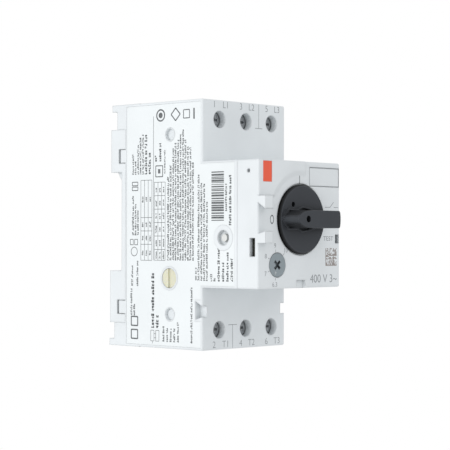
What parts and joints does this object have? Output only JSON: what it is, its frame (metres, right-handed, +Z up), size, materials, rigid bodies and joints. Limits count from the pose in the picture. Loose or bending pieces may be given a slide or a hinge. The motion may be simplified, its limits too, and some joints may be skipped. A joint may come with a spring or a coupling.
{
  "type": "motor protection breaker",
  "caption": "Three-pole rail-mounted motor protection breaker with a rotary handle, a current setting dial and box clamp terminals.",
  "frame": {"origin": "centre of the rear seat that lies on the mounting rail", "axes": "+Y to the rear, towards the rail; -Y is the operating front; +Z up; +X to the right seen from the front"},
  "size_m": [0.045, 0.0836, 0.09],
  "materials": {
    "white_plastic": "light grey-white moulded polyamide",
    "label_film": "printed white film",
    "dark_plastic": "dark grey moulded plastic, fine texture",
    "orange_print": "orange print",
    "grey_plastic": "grey moulded plastic",
    "yellow_plug": "pale yellow moulded plug",
    "olive_plastic": "dark olive moulded plastic",
    "mechanism_plastic": "glass-filled mechanism plastic",
    "zinc_steel": "zinc-plated steel",
    "spring_steel": "spring steel wire",
    "copper": "copper",
    "silver": "silver alloy contact facing",
    "bimetal": "rolled thermostat metal and heater wire"
  },
  "bodies": {
    "housing": {"arc_plates": "zinc_steel", "base_housing": "white_plastic", "bearing_plate": "mechanism_plastic", "bimetal_strips": "bimetal", "calibration_plug": "yellow_plug", "carrier_spring": "spring_steel", "coil_bobbins": "mechanism_plastic", "fixed_pads": "silver", "front_cover": "white_plastic", "front_tag": "orange_print", "heater_windings": "bimetal", "latch_spring": "spring_steel", "legend_plate": "white_plastic", "line_conductors": "copper", "load_conductors": "copper", "load_contacts": "copper", "magnet_coils": "copper", "magnet_yokes": "zinc_steel", "main_housing": "white_plastic", "mechanism_frame": "zinc_steel", "plunger_spring_1": "spring_steel", "plunger_spring_2": "spring_steel", "plunger_spring_3": "spring_steel", "side_label": "label_film", "spring_post": "mechanism_plastic"},
    "handle": {"rotary_knob": "dark_plastic", "knob_shaft": "mechanism_plastic"},
    "lock_tab": {"handle_lock_tab": "dark_plastic"},
    "contacts": {"contact_carrier": "mechanism_plastic", "contact_bridges": "copper", "bridge_pads": "silver", "contact_springs": "spring_steel"},
    "dial": {"setting_dial": "grey_plastic"},
    "nut": {"adjusting_nut": "mechanism_plastic"},
    "tester": {"test_lever": "grey_plastic"},
    "trip": {"trip_shaft": "mechanism_plastic"},
    "slider": {"trip_slider": "mechanism_plastic"},
    "aux": {"aux_drive": "olive_plastic"},
    "latch": {"rail_latch": "zinc_steel"},
    "plunger_1": {"magnet_plunger_1": "zinc_steel"},
    "line_screw_1_body": {"line_screw_1": "zinc_steel"},
    "line_cage_1_body": {"line_cage_1": "zinc_steel"},
    "load_screw_1_body": {"load_screw_1": "zinc_steel"},
    "load_cage_1_body": {"load_cage_1": "zinc_steel"},
    "plunger_2": {"magnet_plunger_2": "zinc_steel"},
    "line_screw_2_body": {"line_screw_2": "zinc_steel"},
    "line_cage_2_body": {"line_cage_2": "zinc_steel"},
    "load_screw_2_body": {"load_screw_2": "zinc_steel"},
    "load_cage_2_body": {"load_cage_2": "zinc_steel"},
    "plunger_3": {"magnet_plunger_3": "zinc_steel"},
    "line_screw_3_body": {"line_screw_3": "zinc_steel"},
    "line_cage_3_body": {"line_cage_3": "zinc_steel"},
    "load_screw_3_body": {"load_screw_3": "zinc_steel"},
    "load_cage_3_body": {"load_cage_3": "zinc_steel"}
  },
  "joints": [
    {"name": "handle_turn", "type": "hinge", "parent": "housing", "child": "handle", "pos_m": [0.0003, -0.0685, 0.00045], "axis": [0, 1, 0], "range_deg": [0, 90]},
    {"name": "lock_tab_pull", "type": "slide", "parent": "handle", "child": "lock_tab", "axis": [-1, 0, 0], "range_m": [0, 0.004]},
    {"name": "contact_close", "type": "slide", "parent": "housing", "child": "contacts", "axis": [0, 1, 0], "range_m": [0, 0.002], "deforming": ["carrier_spring"]},
    {"name": "dial_turn", "type": "hinge", "parent": "housing", "child": "dial", "pos_m": [-0.0122, -0.0685, -0.0156], "axis": [0, 1, 0], "range_deg": [0, 202.5]},
    {"name": "nut_travel", "type": "slide", "parent": "housing", "child": "nut", "axis": [0, 1, 0], "range_m": [0, 0.0005625]},
    {"name": "test_push", "type": "slide", "parent": "housing", "child": "tester", "axis": [0, 1, 0], "range_m": [0, 0.0013], "stiffness_N_per_m": 300},
    {"name": "trip_turn", "type": "hinge", "parent": "housing", "child": "trip", "pos_m": [0, -0.0522, -0.0061], "axis": [-1, 0, 0], "range_deg": [0, 24]},
    {"name": "slider_push", "type": "slide", "parent": "housing", "child": "slider", "axis": [1, 0, 0], "range_m": [0, 0.0012], "stiffness_N_per_m": 150},
    {"name": "aux_slide", "type": "slide", "parent": "housing", "child": "aux", "axis": [0, 0, 1], "range_m": [0, 0.003]},
    {"name": "latch_pull", "type": "slide", "parent": "housing", "child": "latch", "axis": [0, 0, -1], "range_m": [0, 0.003], "stiffness_N_per_m": 2000, "deforming": ["latch_spring"]},
    {"name": "plunger_strike_1", "type": "slide", "parent": "housing", "child": "plunger_1", "axis": [0, -1, 0], "range_m": [0, 0.0012], "stiffness_N_per_m": 200, "deforming": ["plunger_spring_1"]},
    {"name": "plunger_strike_2", "type": "slide", "parent": "housing", "child": "plunger_2", "axis": [0, -1, 0], "range_m": [0, 0.0012], "stiffness_N_per_m": 200, "deforming": ["plunger_spring_2"]},
    {"name": "plunger_strike_3", "type": "slide", "parent": "housing", "child": "plunger_3", "axis": [0, -1, 0], "range_m": [0, 0.0012], "stiffness_N_per_m": 200, "deforming": ["plunger_spring_3"]},
    {"name": "line_screw_turn_1", "type": "hinge", "parent": "housing", "child": "line_screw_1_body", "pos_m": [-0.0135, -0.039, 0.0365], "axis": [0, 1, 0], "range_deg": [0, 1954.29]},
    {"name": "line_cage_lift_1", "type": "slide", "parent": "housing", "child": "line_cage_1_body", "axis": [0, -1, 0], "range_m": [0, 0.0038]},
    {"name": "line_screw_turn_2", "type": "hinge", "parent": "housing", "child": "line_screw_2_body", "pos_m": [0.00065, -0.039, 0.0365], "axis": [0, 1, 0], "range_deg": [0, 1954.29]},
    {"name": "line_cage_lift_2", "type": "slide", "parent": "housing", "child": "line_cage_2_body", "axis": [0, -1, 0], "range_m": [0, 0.0038]},
    {"name": "line_screw_turn_3", "type": "hinge", "parent": "housing", "child": "line_screw_3_body", "pos_m": [0.0148, -0.039, 0.0365], "axis": [0, 1, 0], "range_deg": [0, 1954.29]},
    {"name": "line_cage_lift_3", "type": "slide", "parent": "housing", "child": "line_cage_3_body", "axis": [0, -1, 0], "range_m": [0, 0.0038]},
    {"name": "load_screw_turn_1", "type": "hinge", "parent": "housing", "child": "load_screw_1_body", "pos_m": [-0.0135, -0.039, -0.0392], "axis": [0, 1, 0], "range_deg": [0, 1954.29]},
    {"name": "load_cage_lift_1", "type": "slide", "parent": "housing", "child": "load_cage_1_body", "axis": [0, -1, 0], "range_m": [0, 0.0038]},
    {"name": "load_screw_turn_2", "type": "hinge", "parent": "housing", "child": "load_screw_2_body", "pos_m": [0.00065, -0.039, -0.0392], "axis": [0, 1, 0], "range_deg": [0, 1954.29]},
    {"name": "load_cage_lift_2", "type": "slide", "parent": "housing", "child": "load_cage_2_body", "axis": [0, -1, 0], "range_m": [0, 0.0038]},
    {"name": "load_screw_turn_3", "type": "hinge", "parent": "housing", "child": "load_screw_3_body", "pos_m": [0.0148, -0.039, -0.0392], "axis": [0, 1, 0], "range_deg": [0, 1954.29]},
    {"name": "load_cage_lift_3", "type": "slide", "parent": "housing", "child": "load_cage_3_body", "axis": [0, -1, 0], "range_m": [0, 0.0038]}
  ],
  "couplings": [
    {"joint": "contact_close", "follows": "handle_turn", "m_per_rad": 0.0012732},
    {"joint": "aux_slide", "follows": "handle_turn", "m_per_rad": 0.0019099},
    {"joint": "dial_turn", "follows": "nut_travel", "rad_per_m": 6283.2},
    {"joint": "trip_turn", "follows": "test_push", "rad_per_m": 322.21},
    {"joint": "line_screw_turn_1", "follows": "line_cage_lift_1", "rad_per_m": 8976},
    {"joint": "line_screw_turn_2", "follows": "line_cage_lift_2", "rad_per_m": 8976},
    {"joint": "line_screw_turn_3", "follows": "line_cage_lift_3", "rad_per_m": 8976},
    {"joint": "load_screw_turn_1", "follows": "load_cage_lift_1", "rad_per_m": 8976},
    {"joint": "load_screw_turn_2", "follows": "load_cage_lift_2", "rad_per_m": 8976},
    {"joint": "load_screw_turn_3", "follows": "load_cage_lift_3", "rad_per_m": 8976}
  ]
}
